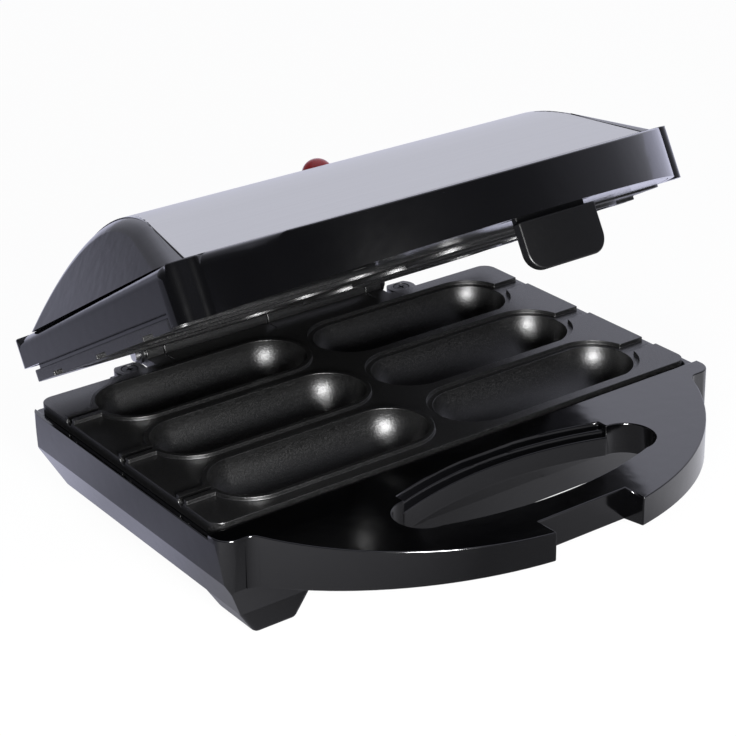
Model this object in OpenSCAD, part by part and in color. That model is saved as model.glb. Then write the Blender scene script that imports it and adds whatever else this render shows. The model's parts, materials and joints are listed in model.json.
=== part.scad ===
// Corn dog maker: two cast plates with six moulds each, hinged at the back, in a
// black housing with a bowed front handle, an arched steel lid panel and a latch.
// Sizes are in millimetres. The working frame has its origin at the middle of the
// lower plate's top face, +X along the moulds, -Y to the front and +Z up. The whole
// part is then set on its feet, with the origin below the middle of its box.

/* [Cooking plates] */
// Width of each plate, along the moulds
plate_w = 240; // [236:1:246]
// Depth of each plate, front to back
plate_d = 137; // [135:1:141]
// Height of a plate's edge
plate_edge = 5; // [4:0.5:6]
// Corner radius of a plate
plate_corner = 6; // [4:0.5:9]
// Gap between the plates when the lid is shut
plate_gap = 1.2; // [1:0.1:1.6]
// Length of one mould
mould_l = 100; // [94:1:102]
// Width of one mould
mould_w = 34; // [32:0.5:35]
// Wall thickness of the cast bowls
mould_wall = 3; // [2:0.5:3.5]
// Distance between the rows of moulds
row_pitch = 43.3; // [42:0.1:43.8]
// Place of the middle row, to the front of the plate's middle
row_shift = 1; // [0:0.1:1.5]
// Distance of each column of moulds from the middle
column_x = 55; // [54:0.5:57]
// Height of the sealing lip round a mould
lip_h = 1.6; // [1.2:0.1:2]
// Width of the sealing lip
lip_w = 2; // [1.5:0.1:2.2]
// Depth of the groove that takes the lip
groove_depth = 1.8; // [1.2:0.1:2.2]
// Room round the lip in its groove
groove_clear = 0.4; // [0.3:0.05:0.5]
// Diameter of a stick channel
stick_d = 3.8; // [3:0.1:4.6]

/* [Hinge] */
// Distance from a plate's rear edge to the hinge axis
hinge_set = 12; // [11:0.5:14]
// Radius of a hinge knuckle
knuckle_r = 5; // [4.5:0.1:5.4]
// Length of a short end knuckle
knuckle_short = 9; // [8:0.5:12]
// Length of a long knuckle
knuckle_long = 54; // [48:1:56]
// Room between neighbouring knuckles
knuckle_clear = 0.4; // [0.3:0.1:0.8]
// Play between a plate's ledge and the other plate's knuckles
ledge_clear = 0.7; // [0.5:0.1:1.2]
// Radius of the hinge pin
pin_r = 2.5; // [2:0.1:3]
// Radial room of a pin in its bore
pin_clear = 0.06; // [0.03:0.01:0.09]
// How far the lid stands open
lid_open = 29; // [20:1:40]

/* [Base housing] */
// Distance from a plate's side to the outside of the rim
rim_side = 4; // [3.5:0.5:6]
// Distance from a plate's front edge to the front of the rim
rim_ahead = 11.5; // [10:0.5:14]
// Distance from a plate's rear edge to the back of the rim
rim_behind = 1.5; // [1.5:0.5:3]
// Corner radius of the rim
rim_corner = 7; // [5:0.5:10]
// Drop of the rim's top below the plate's face
rim_drop = 3.5; // [2.5:0.5:4]
// Height of the rim's front strip over the rest of the rim
strip_lift = 2; // [1:0.1:2.4]
// Height of the upright band of the rim
band_h = 17; // [14:0.5:18]
// Inward lean of that band
band_taper = 1.5; // [0.5:0.5:2.5]
// Depth of the base below the plate's face
base_depth = 38; // [36:0.5:42]
// Inward run of the sloped sides under the band
slope_run = 8.5; // [6:0.5:10]
// Wall thickness of the mouldings
wall = 2.5; // [2:0.1:3]
// Thickness of the deck that carries a plate
deck_t = 2.5; // [2:0.1:3]
// Width of the ledge under a plate's edge
ledge_w = 4; // [3:0.5:5]
// Room round a plate in the deck
plate_clear = 1.4; // [0.8:0.1:1.8]
// Height of the feet
foot_h = 11; // [8:0.5:13]
// Width of a front foot at its bottom
foot_w = 18.5; // [17:0.5:26]
// Inward lean of a front foot's outside
foot_lean = 7; // [5:0.5:8]
// Inward run of a front foot's inner side
foot_flare = 8; // [6:0.5:11]
// Length of a front foot, front to back
foot_l = 26; // [20:1:32]
// Radius of a rear foot
rear_foot_r = 9; // [8:0.5:12]
// Radius of a rubber pad
pad_r = 6; // [4:0.5:7]
// Thickness of a rubber pad
pad_t = 2; // [1.6:0.1:3]
// How far a pad stands out of its foot
pad_proud = 1; // [0.5:0.1:1.4]

/* [Handle] */
// Radius of the bowed front edge
bow_r = 123; // [118:1:128]
// How far the bow stands out of the rim
bow_reach = 70; // [66:1:74]
// Radius of the inside corner between bow and rim
bow_fillet = 5; // [3:0.5:7]
// Height of the front band where it leaves the rim
bow_root_h = 20; // [17:0.5:22]
// Rise of the bow's top towards its middle
bow_rise = 2.3; // [1.8:0.1:2.6]
// Height of the front band at the middle of the bow
bow_tip_h = 12; // [11.5:0.5:12.5]
// Width of the grip in front of the finger slot
grip_w = 24.5; // [23:0.5:27]
// Distance from the rim to the back of the finger slot
slot_set = 0.5; // [0.5:0.5:3]
// Radius of the slot's back edge
slot_back_r = 160; // [150:2:190]
// Radius of the slot's front edge
slot_front_r = 165; // [150:1:180]
// Distance of the slot's round ends from the middle
slot_end_x = 51; // [46:0.5:54]
// Width of each step along the slot's back edge
slot_step = 2.4; // [1.5:0.1:2.6]
// Depth of the wall round the finger slot
slot_deep = 11.5; // [10:0.5:13]
// Width of the latch notch
notch_w = 43; // [41:0.5:46]
// Depth of the latch notch
notch_depth = 12.5; // [12:0.5:13.5]

/* [Lid housing] */
// Height of the lid's side walls above its plate's face
side_lift = 6.8; // [6:0.2:7.6]
// Height of the lid's front edge above its plate's face
front_lift = 0.8; // [0.4:0.1:1.4]
// Height of the lid's rim at the back
rim_rear_h = 19.3; // [18.5:0.1:20]
// Height of the lid's rim at the front corners
rim_front_h = 23.4; // [22.5:0.1:24]
// Height of the lid's bow at its tip
bow_tip_top = 18; // [17:0.5:19.5]
// Radius of the arched top
dome_r = 76.7; // [74:0.1:79]
// Height of the arched top above the upper plate's face
dome_h = 49.8; // [48:0.1:52]
// Place of the top of the arch, to the front of the middle
dome_shift = 7.8; // [5:0.1:10]
// Slope of the arch at the front, in degrees
ramp_front = 29; // [27:0.5:31]
// Slope of the arch at the back, in degrees
ramp_rear = 48; // [46:0.5:50]
// Inward run of the end caps over their height
cap_run = 18.5; // [15:0.5:21]
// Ledge of the rim outside an end cap
cap_ledge = 1.5; // [1:0.1:2.5]
// Thickness of the steel panel
steel_t = 0.8; // [0.6:0.1:1]
// Half width of the steel panel at its lower edges
steel_half = 112.5; // [109:0.5:114]
// Inward run of the steel panel's sides
steel_run = 12; // [10:0.5:15]
// Gap round the steel panel
steel_gap = 0.5; // [0.3:0.1:0.8]

/* [Latch] */
// Width of the latch
latch_w = 36; // [34:0.5:38]
// Thickness of the latch
latch_t = 4; // [3.5:0.1:4.5]
// Height of the latch
latch_h = 18.7; // [18.4:0.1:19]
// Gap between latch and lid
latch_gap = 1.8; // [1.6:0.1:2.2]
// Corner radius of the latch
latch_corner = 7; // [5:0.5:10]
// Height of the latch pivot above the lid's front edge
pivot_up = 5; // [4.8:0.1:5.4]
// Distance of the latch pivot behind the bow's front
pivot_in = 7.3; // [7.1:0.1:7.6]
// Radius of the latch pin
latch_pin_r = 1.5; // [1.2:0.1:1.6]
// Radius of the latch's barrel
latch_barrel_r = 3.2; // [2.8:0.1:3.4]
// Width of the catch at the latch's lower end
catch_w = 14; // [10:1:18]
// Height of that catch
catch_t = 1.5; // [1.2:0.1:1.6]
// Room between the catch and the notch while the latch hangs straight
catch_clear = 0.7; // [0.5:0.1:1]

/* [Heating] */
// Radius of the heating tube
heater_r = 3.25; // [3:0.05:3.5]
// Depth of the heating tube's axis behind a plate's face
heater_z = 12; // [11.5:0.1:12.5]
// Length of the plate's posts behind its face
post_l = 16; // [15.5:0.1:17]
// Radius of a housing post
post_r = 5.5; // [5:0.1:6]
// Width of the strap over the heating tube
strap_w = 8; // [7:0.5:9]
// Thickness of the strap
strap_t = 1.2; // [1:0.1:1.5]
// Radius of the screws' shanks
screw_r = 2; // [1.8:0.1:2.1]
// Radius of the screws' heads
screw_head_r = 3.5; // [3.2:0.1:3.6]
// Height of the screws' heads
screw_head_h = 2; // [1.6:0.1:2.2]
// Room round a screw
screw_clear = 0.08; // [0.05:0.01:0.1]
// Thickness of the heat shields
shield_t = 0.8; // [0.6:0.1:1]
// Height of the base's shield above the floor
shield_up = 4; // [3:0.5:5]
// Height of the lid's shield above the upper plate's face
shield_lid = 24.2; // [23.6:0.2:25]
// Radius of an inside lead
lead_r = 1.2; // [1:0.1:1.4]

/* [Indicator and inlet] */
// Radius of the red lens
lens_r = 6.5; // [5:0.1:7]
// Height of the lens above the steel panel
lens_h = 5; // [3.5:0.1:6]
// Distance of the lens behind the top of the arch
lens_back = 7; // [4:0.5:12]
// Radius of the mains lead's hole
inlet_r = 3.8; // [3:0.1:4.5]
// Distance of the inlet from the middle
inlet_x = 100; // [96:1:102]
// Depth of the inlet below the plate's face
inlet_z = 16; // [15:0.5:18]

/* [Hidden] */
$fn = 72;

// Reach of cutting blocks past what they cut
past = 400;
// Overlap of joined solids, and of cuts past a face
bite = 1;

rim_front = -plate_d / 2 - rim_ahead;
rim_rear = plate_d / 2 + rim_behind;
bow_front = rim_front - bow_reach;
bow_y = bow_front + bow_r;
hinge_y = plate_d / 2 + hinge_set;
hinge_z = plate_gap / 2;
floor_z = -base_depth;
foot_z = floor_z - foot_h;
rest_z = foot_z - pad_proud;
band_z = -rim_drop - band_h;
deck_under = -plate_edge - deck_t;
mould_r = mould_w / 2;
bowl_r = mould_r + mould_wall;
// Straight half length of a mould, between its round ends
mould_run = mould_l / 2 - mould_r;
heater_half = row_pitch / 2;
heater_end = column_x + mould_run;
lid_z = plate_gap;
dome_y = -dome_shift;
dome_z = dome_h - dome_r;
// The ramps start this far inside the arc, so that they cross it
ramp_sink = 0.03;
// Height at which an end cap meets the rim
cap_z = rim_rear_h + 1.5;

// Ends of the heating tube's terminals, and the leads that rise beside them in the lid
terminal_x = heater_end + 18;
lead_side_x = terminal_x + 4;
lead_top = shield_lid + 5;
lead_room = 0.6;
// Lean of an end cap at the height of those leads
lead_lean = cap_run * (lead_top - cap_z) / (dome_h - cap_z);
// The housings are as wide as the plate needs, or the leads where these need more
half_w = max(
    plate_w / 2 + rim_side,
    lead_side_x + lead_r + lead_room + lead_lean + wall + cap_ledge
);
floor_half = half_w - band_taper - slope_run;

// Places of the screws through the plates' rear ears
ear_x = knuckle_long + knuckle_short + 10;
ear_y = plate_d / 2 + 5;
ear_r = 6.8;
ear_t = 4;
// Places of the screws between the columns of moulds
post_front_y = -plate_d / 2 + 10.5;
post_rear_y = row_pitch + 0.7;
// Places of the shield's posts
shield_x = 70;
shield_y = [-45, 6];
shield_post_r = 4;
// Places of the handle cover's screws
cover_screw_x = 60;
cover_screw_y = rim_front - 24;
cover_t = 2.5;
cover_clear = 0.2;
latch_y = bow_front + pivot_in;
latch_z = front_lift + pivot_up;
// How far the front feet stand behind the rim's front
foot_set = 6.5;
// How far the rear feet stand in from the plate's ends and the rim's rear
rear_foot_in = 36;
rear_foot_set = 22;
rear_foot_x = half_w - rear_foot_in;
rear_foot_y = rim_rear - rear_foot_set;

// Sets the working frame on the floor, below the middle of the part's box
module placed() {
    translate([0, -(bow_front + hinge_y + knuckle_r) / 2, -rest_z])
        children();
}

// Swings what belongs to the lid to its open place
module raised() {
    placed()
        translate([0, hinge_y, hinge_z])
            rotate([-lid_open, 0, 0])
                translate([0, -hinge_y, -hinge_z])
                    children();
}

// Takes the frame of the upper plate's face, which the lid is drawn from
module in_lid() {
    raised()
        translate([0, 0, lid_z])
            children();
}

// Turns a piece of the lower plate over to the upper plate
module turned() {
    in_lid()
        rotate([0, 180, 0])
            children();
}

// Extrudes a (Y, Z) outline along X
module along_x(length) {
    rotate([90, 0, 90])
        linear_extrude(length, center = true)
            children();
}

// Extrudes an (X, Z) outline along Y
module along_y(length) {
    rotate([90, 0, 0])
        linear_extrude(length, center = true)
            children();
}

module rod_x(x0, x1, r) {
    translate([x0, 0, 0])
        rotate([0, 90, 0])
            cylinder(h = x1 - x0, r = r);
}

module both_sides() {
    children();
    mirror([1, 0, 0])
        children();
}

module rounded_box(x0, x1, y0, y1, r) {
    translate([x0 + r, y0])
        square([x1 - x0 - 2 * r, y1 - y0]);
    translate([x0, y0 + r])
        square([x1 - x0, y1 - y0 - 2 * r]);
    for (x = [x0 + r, x1 - r], y = [y0 + r, y1 - r])
        translate([x, y])
            circle(r);
}

module plate_outline(grow) {
    x = plate_w / 2 + grow;
    y = plate_d / 2 + grow;
    rounded_box(-x, x, -y, y, plate_corner + grow);
}

module rim_outline(inset) {
    x = half_w - inset;
    rounded_box(-x, x, rim_front + inset, rim_rear - inset, rim_corner - inset);
}

// The bowed front, with inside fillets where it leaves the rim
module bow_outline(inset) {
    intersection() {
        translate([0, bow_y])
            circle(bow_r - inset, $fn = 180);
        translate([-past, bow_front - bite])
            square([2 * past, bow_reach + rim_ahead]);
    }
    fillet_y = rim_front - bow_fillet;
    fillet_reach = bow_r + bow_fillet;
    fillet_x = sqrt(pow(fillet_reach, 2) - pow(fillet_y - bow_y, 2));
    share = bow_r / fillet_reach;
    if (inset == 0)
        both_sides()
            difference() {
                polygon([
                    [fillet_x, rim_front + bite],
                    [fillet_x, rim_front],
                    [fillet_x * share, bow_y + (fillet_y - bow_y) * share],
                    [fillet_x * share - 2 * bow_fillet, rim_front + bite]
                ]);
                translate([fillet_x, fillet_y])
                    circle(bow_fillet);
            }
}

module body_outline(inset) {
    rim_outline(inset);
    bow_outline(inset);
}

// Crescent of the finger slot: step narrows it from the back, and its round ends
// leave room for both steps
module slot_outline(grow, step = 0) {
    back_y = rim_front - slot_set;
    front_y = bow_front + grip_w;
    end_back = back_y - slot_back_r - 2 * slot_step
        + sqrt(pow(slot_back_r, 2) - pow(slot_end_x, 2));
    end_front = front_y + slot_front_r - sqrt(pow(slot_front_r, 2) - pow(slot_end_x, 2));
    intersection() {
        translate([0, back_y - slot_back_r])
            circle(slot_back_r + grow - step, $fn = 180);
        translate([0, front_y + slot_front_r])
            circle(slot_front_r + grow, $fn = 180);
        translate([-slot_end_x - grow, front_y - past / 2])
            square([2 * slot_end_x + 2 * grow, past]);
    }
    if (step == 0)
        both_sides()
            translate([slot_end_x, (end_back + end_front) / 2])
                circle((end_back - end_front) / 2 + grow);
}

// Crescent behind the slot's steps, with its back edge moved forward by step
module slot_steps(grow, step) {
    intersection() {
        translate([0, rim_front - slot_set - slot_back_r])
            circle(slot_back_r + grow - step, $fn = 180);
        translate([-slot_end_x - grow, bow_front + grip_w + slot_deep - grow])
            square([2 * slot_end_x + 2 * grow, past]);
    }
}

// Block of the base: upright band, sloped sides and back
module base_block(inset, low, high) {
    top = -rim_drop;
    side = half_w - inset;
    back = rim_rear - inset;
    front = rim_front + inset;
    intersection() {
        translate([0, 0, low])
            linear_extrude(high - low)
                rim_outline(inset);
        along_y(past)
            polygon([
                [-side, top],
                [-side + band_taper, band_z],
                [-side + band_taper + slope_run, floor_z],
                [side - band_taper - slope_run, floor_z],
                [side - band_taper, band_z],
                [side, top]
            ]);
        along_x(past)
            polygon([
                [front, top],
                [front + bite / 2, -rim_drop - bow_root_h],
                [front + 6, floor_z],
                [back - band_taper - slope_run, floor_z],
                [back - band_taper, band_z],
                [back, top]
            ]);
    }
}

// The bow and the rim's front strip lie in one plane that rises from the plate
strip_rear = -plate_d / 2 - plate_clear;
rim_rise = strip_lift
    + (bow_rise - strip_lift) * (strip_rear - rim_front) / (strip_rear - bow_front);

// Raises the rim's front strip into that plane
module front_strip() {
    intersection() {
        tall(-rim_drop - bite, bow_rise)
            body_outline(0);
        along_x(past)
            polygon([
                [rim_front - bite, -rim_drop + rim_rise],
                [rim_front, -rim_drop + rim_rise],
                [strip_rear, -rim_drop + strip_lift],
                [strip_rear, -rim_drop - bite / 2],
                [rim_front - bite, -rim_drop - bite / 2]
            ]);
    }
}

// Slab between the handle's rising top and its sloping underside
module bow_slice() {
    top = -rim_drop;
    tip_top = top + bow_rise;
    along_x(past)
        polygon([
            [bow_front - bite, tip_top],
            [bow_front, tip_top],
            [rim_front, top + rim_rise],
            [rim_front + 2 * bite, top],
            [rim_front + 2 * bite, top - bow_root_h],
            [rim_front, top - bow_root_h],
            [bow_front, tip_top - bow_tip_h],
            [bow_front - bite, tip_top - bow_tip_h]
        ]);
}

module tall(low, high) {
    translate([0, 0, low])
        linear_extrude(high - low)
            children();
}

module notch_outline(grow) {
    translate([-notch_w / 2 - grow, bow_front - past / 4])
        square([notch_w + 2 * grow, notch_depth + past / 4 + grow]);
}

// The bowed handle, hollow from below
module lower_handle() {
    difference() {
        intersection() {
            tall(floor_z, bow_rise)
                bow_outline(0);
            bow_slice();
        }
        tall(floor_z - bite, -rim_drop - deck_t)
            difference() {
                intersection() {
                    bow_outline(wall);
                    translate([-past, bow_front])
                        square([2 * past, bow_reach]);
                }
                slot_outline(wall);
                notch_outline(wall);
            }
        tall(floor_z - bite, -rim_drop - slot_deep)
            slot_outline(wall + bite);
        tall(floor_z - bite, bite)
            slot_outline(0);
        tall(floor_z - bite, bite)
            notch_outline(0);
    }
    // Two steps along the slot's back edge
    for (n = [1, 2])
        intersection() {
            tall(-rim_drop - slot_deep, -rim_drop + strip_lift - n * slot_step)
                difference() {
                    slot_steps(bite / 2, 0);
                    slot_steps(bite, n * slot_step + bite);
                }
            bow_slice();
        }
}

module front_foot() {
    outer = floor_half - foot_lean;
    translate([0, rim_front + foot_set + foot_l / 2, 0])
        along_y(foot_l)
            polygon([
                [floor_half, floor_z + bite / 10],
                [floor_half - bite, floor_z + bite],
                [outer - foot_w - foot_flare, floor_z + bite],
                [outer - foot_w - foot_flare, floor_z],
                [outer - foot_w, foot_z],
                [outer, foot_z]
            ]);
}

// Middles of the four pads
pad_places = [
    for (side = [-1, 1])
        each [
            [side * (floor_half - foot_lean - foot_w / 2), rim_front + foot_set + foot_l / 2],
            [side * rear_foot_x, rear_foot_y]
        ]
];

module lower_housing() {
    color([0.06, 0.06, 0.065])
        placed()
            difference() {
                union() {
                    base_shell();
                    front_strip();
                    lower_handle();
                    both_sides() {
                        front_foot();
                        translate([rear_foot_x, rear_foot_y, foot_z])
                            cylinder(h = foot_h + bite, r = rear_foot_r);
                    }
                    for (y = [post_front_y, post_rear_y])
                        translate([0, y, floor_z])
                            cylinder(h = base_depth - post_l, r = post_r);
                    for (x = [-shield_x, shield_x], y = shield_y)
                        translate([x, y, floor_z])
                            cylinder(h = wall + shield_up, r = shield_post_r);
                    both_sides()
                        lower_lug();
                    hinge_shelf();
                    inlet_seat();
                }
                for (y = [post_front_y, post_rear_y])
                    translate([0, y, floor_z]) {
                        translate([0, 0, -bite])
                            cylinder(h = base_depth, r = screw_r + screw_clear);
                        translate([0, 0, -bite])
                            cylinder(h = screw_seat_z - floor_z + bite, r = screw_head_r + 0.4);
                    }
                for (p = pad_places)
                    translate([p.x, p.y, foot_z - bite])
                        cylinder(h = pad_t - pad_proud + bite, r = pad_r + 0.1);
                translate([inlet_x, rim_rear, -inlet_z])
                    rotate([90, 0, 0])
                        cylinder(h = past / 10, r = inlet_r + 2.6 + screw_clear, center = true);
                both_sides()
                    translate([ear_x, ear_y, -plate_edge - ear_screw_l])
                        cylinder(h = past, r = screw_r + screw_clear);
            }
}

// Height of the step that the base's screw heads bear on
screw_seat_z = -post_l - 4;

// Tub of the base with the deck that carries the plate
module base_shell() {
    difference() {
        base_block(0, floor_z, -rim_drop);
        base_block(wall, floor_z + wall, deck_under);
        tall(-plate_edge, bite)
            plate_outline(plate_clear);
        tall(deck_under - bite, bite)
            plate_outline(-ledge_w);
        bowl_room();
        // The rear wall stops below the plate, so that the knuckles pass over it
        translate([-plate_w / 2 - plate_clear, plate_d / 2 - plate_corner, -plate_edge])
            cube([plate_w + 2 * plate_clear, past, past]);
    }
}

// Lug behind the rear wall that a plate's ear is screwed to
module lower_lug() {
    translate([ear_x - ear_r, rim_rear - wall - band_taper, -plate_edge - 12])
        cube([2 * ear_r, ear_y + ear_r - 1 - rim_rear + wall + band_taper, 12]);
}

// Shelf under the hinge, from lug to lug
module hinge_shelf() {
    front = rim_rear - wall - band_taper;
    translate([-ear_x, front, -plate_edge - 3.6])
        cube([2 * ear_x, ear_y + ear_r - 2.5 - front, 3]);
}

module inlet_seat() {
    translate([inlet_x, rim_rear, -inlet_z])
        rotate([90, 0, 0])
            cylinder(h = wall + 2, r = inlet_r + 5.2);
}

module foot_pads() {
    color([0.12, 0.12, 0.12])
        placed()
            for (p = pad_places)
                translate([p.x, p.y, rest_z])
                    cylinder(h = pad_t, r = pad_r);
}

// Half-round trough with round ends, along X
module capsule(r) {
    rod_x(-mould_run, mould_run, r);
    for (x = [-mould_run, mould_run])
        translate([x, 0, 0])
            sphere(r, $fn = 96);
}

module stadium(grow) {
    translate([-mould_run, -mould_r - grow])
        square([2 * mould_run, mould_w + 2 * grow]);
    for (x = [-mould_run, mould_run])
        translate([x, 0])
            circle(mould_r + grow);
}

// Strip along a stick channel, from the mould past the plate's edge
module channel_outline(grow) {
    translate([mould_run, -stick_d / 2 - grow])
        square([plate_w / 2 - column_x - mould_run + (grow > lip_w ? bite : -0.6), stick_d + 2 * grow]);
}

rows = [for (n = [-1, 0, 1]) n * row_pitch - row_shift];
bowl_clear = 0.8;

// Room that the bowls of a plate need in what carries it
module bowl_room() {
    for (side = [-1, 1], y = rows)
        translate([side * column_x, y, 0])
            capsule(bowl_r + bowl_clear);
}

// One casting serves as both plates: its left moulds have lips, its right moulds grooves
module plate_casting() {
    difference() {
        union() {
            tall(-plate_edge, 0)
                plate_outline(0);
            intersection() {
                for (side = [-1, 1], y = rows)
                    translate([side * column_x, y, 0])
                        capsule(bowl_r);
                translate([-past / 2, -past / 2, -past - bite])
                    cube(past);
            }
            for (y = rows)
                translate([-column_x, y, -bite])
                    linear_extrude(lip_h + bite) {
                        stadium(lip_w);
                        mirror([1, 0])
                            channel_outline(lip_w);
                    }
            casting_posts();
            knuckles();
            hinge_ledges();
            both_sides()
                ear();
        }
        for (side = [-1, 1], y = rows)
            translate([side * column_x, y, 0]) {
                capsule(mould_r);
                rod_x(side < 0 ? -past : mould_run, side < 0 ? -mould_run : past, stick_d / 2);
            }
        for (y = rows)
            translate([column_x, y, -groove_depth])
                linear_extrude(past) {
                    stadium(lip_w + groove_clear);
                    channel_outline(lip_w + groove_clear);
                }
        for (y = [post_front_y, post_rear_y, -row_shift])
            translate([0, y, -past - 3])
                cylinder(h = past, r = screw_r + screw_clear);
        both_sides()
            translate([ear_x, ear_y, 0]) {
                translate([0, 0, -past / 2])
                    cylinder(h = past, r = screw_r + screw_clear);
                translate([0, 0, ear_t - plate_edge - screw_head_h - 0.2])
                    cylinder(h = past, r = screw_head_r + 0.3);
            }
        translate([0, hinge_y, hinge_z])
            rod_x(-past / 2, past / 2, pin_r + pin_clear);
    }
}

// Posts for screws, and the ribs that seat the heating tube
module casting_posts() {
    for (y = [post_front_y, post_rear_y])
        translate([0, y, -post_l])
            cylinder(h = post_l - bite, r = 4);
    translate([0, -row_shift, -heater_z - heater_r])
        cylinder(h = heater_z + heater_r - bite, r = 3.6);
    for (side = [-1, 1])
        translate([-heater_end, side * heater_half - row_shift - 3, -heater_z + heater_r])
            cube([2 * heater_end, 6, heater_z - heater_r - bite]);
}

// Knuckles of one casting: the turned one fills the spaces between them
knuckle_spans = [[-knuckle_long - knuckle_short, -knuckle_long], [0, knuckle_long]];

module knuckles() {
    for (span = knuckle_spans) {
        x0 = span[0] + knuckle_clear / 2;
        x1 = span[1] - knuckle_clear / 2;
        translate([0, hinge_y, hinge_z])
            rod_x(x0, x1, knuckle_r);
        translate([x0, plate_d / 2 - bite, -plate_edge + 0.7])
            cube([x1 - x0, hinge_set + bite, plate_edge - 0.7]);
    }
}

// Ledges that reach to the knuckles of the other casting and close the gap
module hinge_ledges() {
    for (span = knuckle_spans)
        translate([-span[1] + knuckle_clear, plate_d / 2 - bite, -plate_edge + 0.7])
            cube([
                span[1] - span[0] - 2 * knuckle_clear,
                hinge_set - knuckle_r - ledge_clear + bite,
                plate_edge - 0.7
            ]);
}

module ear() {
    translate([ear_x, ear_y, -plate_edge])
        cylinder(h = ear_t, r = ear_r);
    translate([ear_x - ear_r, plate_d / 2 - bite, -plate_edge])
        cube([2 * ear_r, ear_y - plate_d / 2 + bite, ear_t - 0.6]);
}

module lower_plate() {
    color([0.09, 0.09, 0.09])
        placed()
            plate_casting();
}

module upper_plate() {
    color([0.09, 0.09, 0.09])
        turned()
            plate_casting();
}

// Lengths of the screws' shanks
ear_screw_l = 9;
plate_screw_l = 12;
strap_screw_l = 9;
cover_screw_l = 8;

// Screw that points down from its head's top, with a cross recess
module screw(shank) {
    difference() {
        union() {
            translate([0, 0, -screw_head_h])
                cylinder(h = screw_head_h, r = screw_head_r);
            translate([0, 0, -screw_head_h - shank])
                cylinder(h = shank + bite / 2, r = screw_r);
        }
        for (turn = [0, 90])
            rotate([0, 0, turn])
                translate([-screw_head_r / 2, -0.5, -screw_head_h / 2])
                    cube([screw_head_r, 1, screw_head_h]);
    }
}

module ear_screws() {
    both_sides()
        translate([ear_x, ear_y, ear_t - plate_edge - 0.2])
            screw(ear_screw_l);
}

// Screws from behind a plate into its posts
module plate_screws() {
    for (y = [post_front_y, post_rear_y])
        translate([0, y, screw_seat_z - screw_head_h])
            rotate([180, 0, 0])
                screw(plate_screw_l);
}

module lower_ear_screws() {
    color("silver")
        placed()
            ear_screws();
}

module upper_ear_screws() {
    color("silver")
        turned()
            ear_screws();
}

module lower_plate_screws() {
    color("silver")
        placed()
            plate_screws();
}

module upper_plate_screws() {
    color("silver")
        turned()
            plate_screws();
}

// Heating tube: two runs between the rows of bowls and a bend round the end bowl
module heater() {
    cold_end = 8;
    translate([0, -row_shift, -heater_z]) {
        for (side = [-1, 1])
            translate([0, side * heater_half, 0]) {
                rod_x(-heater_end - 10, heater_end, heater_r);
                rod_x(-heater_end - 10 - cold_end, -heater_end - 10 + bite, 1.5);
            }
        translate([heater_end, 0, 0])
            rotate([0, 0, -90])
                rotate_extrude(angle = 180)
                    translate([heater_half, 0])
                        circle(heater_r);
    }
}

strap_z = -heater_z - heater_r;

module strap() {
    reach = heater_half + heater_r + 3;
    difference() {
        translate([-strap_w / 2, -row_shift - reach, strap_z - strap_t])
            cube([strap_w, 2 * reach, strap_t]);
        translate([0, -row_shift, -past / 2])
            cylinder(h = past, r = screw_r + screw_clear);
    }
}

module strap_screw() {
    translate([0, -row_shift, strap_z - strap_t - screw_head_h])
        rotate([180, 0, 0])
            screw(strap_screw_l);
}

module lower_heater() {
    color([0.45, 0.43, 0.4])
        placed()
            heater();
}

module upper_heater() {
    color([0.45, 0.43, 0.4])
        turned()
            heater();
}

module lower_strap() {
    color("gainsboro")
        placed()
            strap();
}

module upper_strap() {
    color("gainsboro")
        turned()
            strap();
}

module lower_strap_screw() {
    color("silver")
        placed()
            strap_screw();
}

module upper_strap_screw() {
    color("silver")
        turned()
            strap_screw();
}

thermostat_y = 11 - row_shift;
thermostat_r = 7;
thermostat_h = 6;
tab_l = 4;

module thermostat() {
    color([0.85, 0.83, 0.78])
        placed()
            translate([0, thermostat_y, strap_z - strap_t]) {
                translate([0, 0, -thermostat_h])
                    cylinder(h = thermostat_h, r = thermostat_r);
                for (x = [-3.5, 3.5])
                    translate([x - 0.4, -2, -thermostat_h - tab_l])
                        cube([0.8, 4, tab_l + bite]);
            }
}

fuse_r = 2.5;
fuse_l = 14;

module thermal_fuse() {
    color([0.9, 0.88, 0.8])
        placed()
            translate([0, -row_shift - 6, strap_z - strap_t - fuse_r]) {
                rotate([90, 0, 0])
                    cylinder(h = fuse_l, r = fuse_r - 0.02);
                translate([0, 2, 0])
                    rotate([90, 0, 0])
                        cylinder(h = fuse_l + 4, r = 0.6);
            }
}

block_x = -60;
block_y = rim_rear - 28;
block_size = [34, 13, 10];
// The shields end in front of the block, with this room
block_room = 5.5;
shield_rear_y = block_y - block_size.y / 2 - block_room;

// The shields end this far inside the plate's ends and the rim's front
shield_in = 20;
shield_lid_in = 28;
shield_corner = 6;
shield_edge_h = 3;

// Sheet tray with raised edges
module shield(y0, y1) {
    x = half_w - shield_in;
    difference() {
        tall(0, shield_edge_h)
            rounded_box(-x, x, y0, y1, shield_corner);
        tall(shield_t, shield_edge_h + bite)
            rounded_box(-x + shield_t, x - shield_t, y0 + shield_t, y1 - shield_t, shield_corner - shield_t);
        translate([0, post_front_y, -bite])
            cylinder(h = past, r = post_r + 1.5);
    }
}

module lower_heat_shield() {
    color([0.72, 0.72, 0.7])
        placed()
            translate([0, 0, floor_z + wall + shield_up])
                shield(rim_front + shield_in, shield_rear_y);
}

module upper_heat_shield() {
    color([0.72, 0.72, 0.7])
        in_lid()
            translate([0, 0, shield_lid])
                mirror([0, 0, 1])
                    shield(rim_front + shield_lid_in, shield_rear_y);
}

module terminal_block() {
    color([0.92, 0.9, 0.85])
        placed()
            translate([block_x, block_y, floor_z + wall])
                difference() {
                    translate([-block_size.x / 2, -block_size.y / 2, 0])
                        cube(block_size);
                    for (n = [-1, 0, 1])
                        translate([n * 10, 0, 3])
                            cylinder(h = past, r = 2.2);
                }
}

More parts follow.
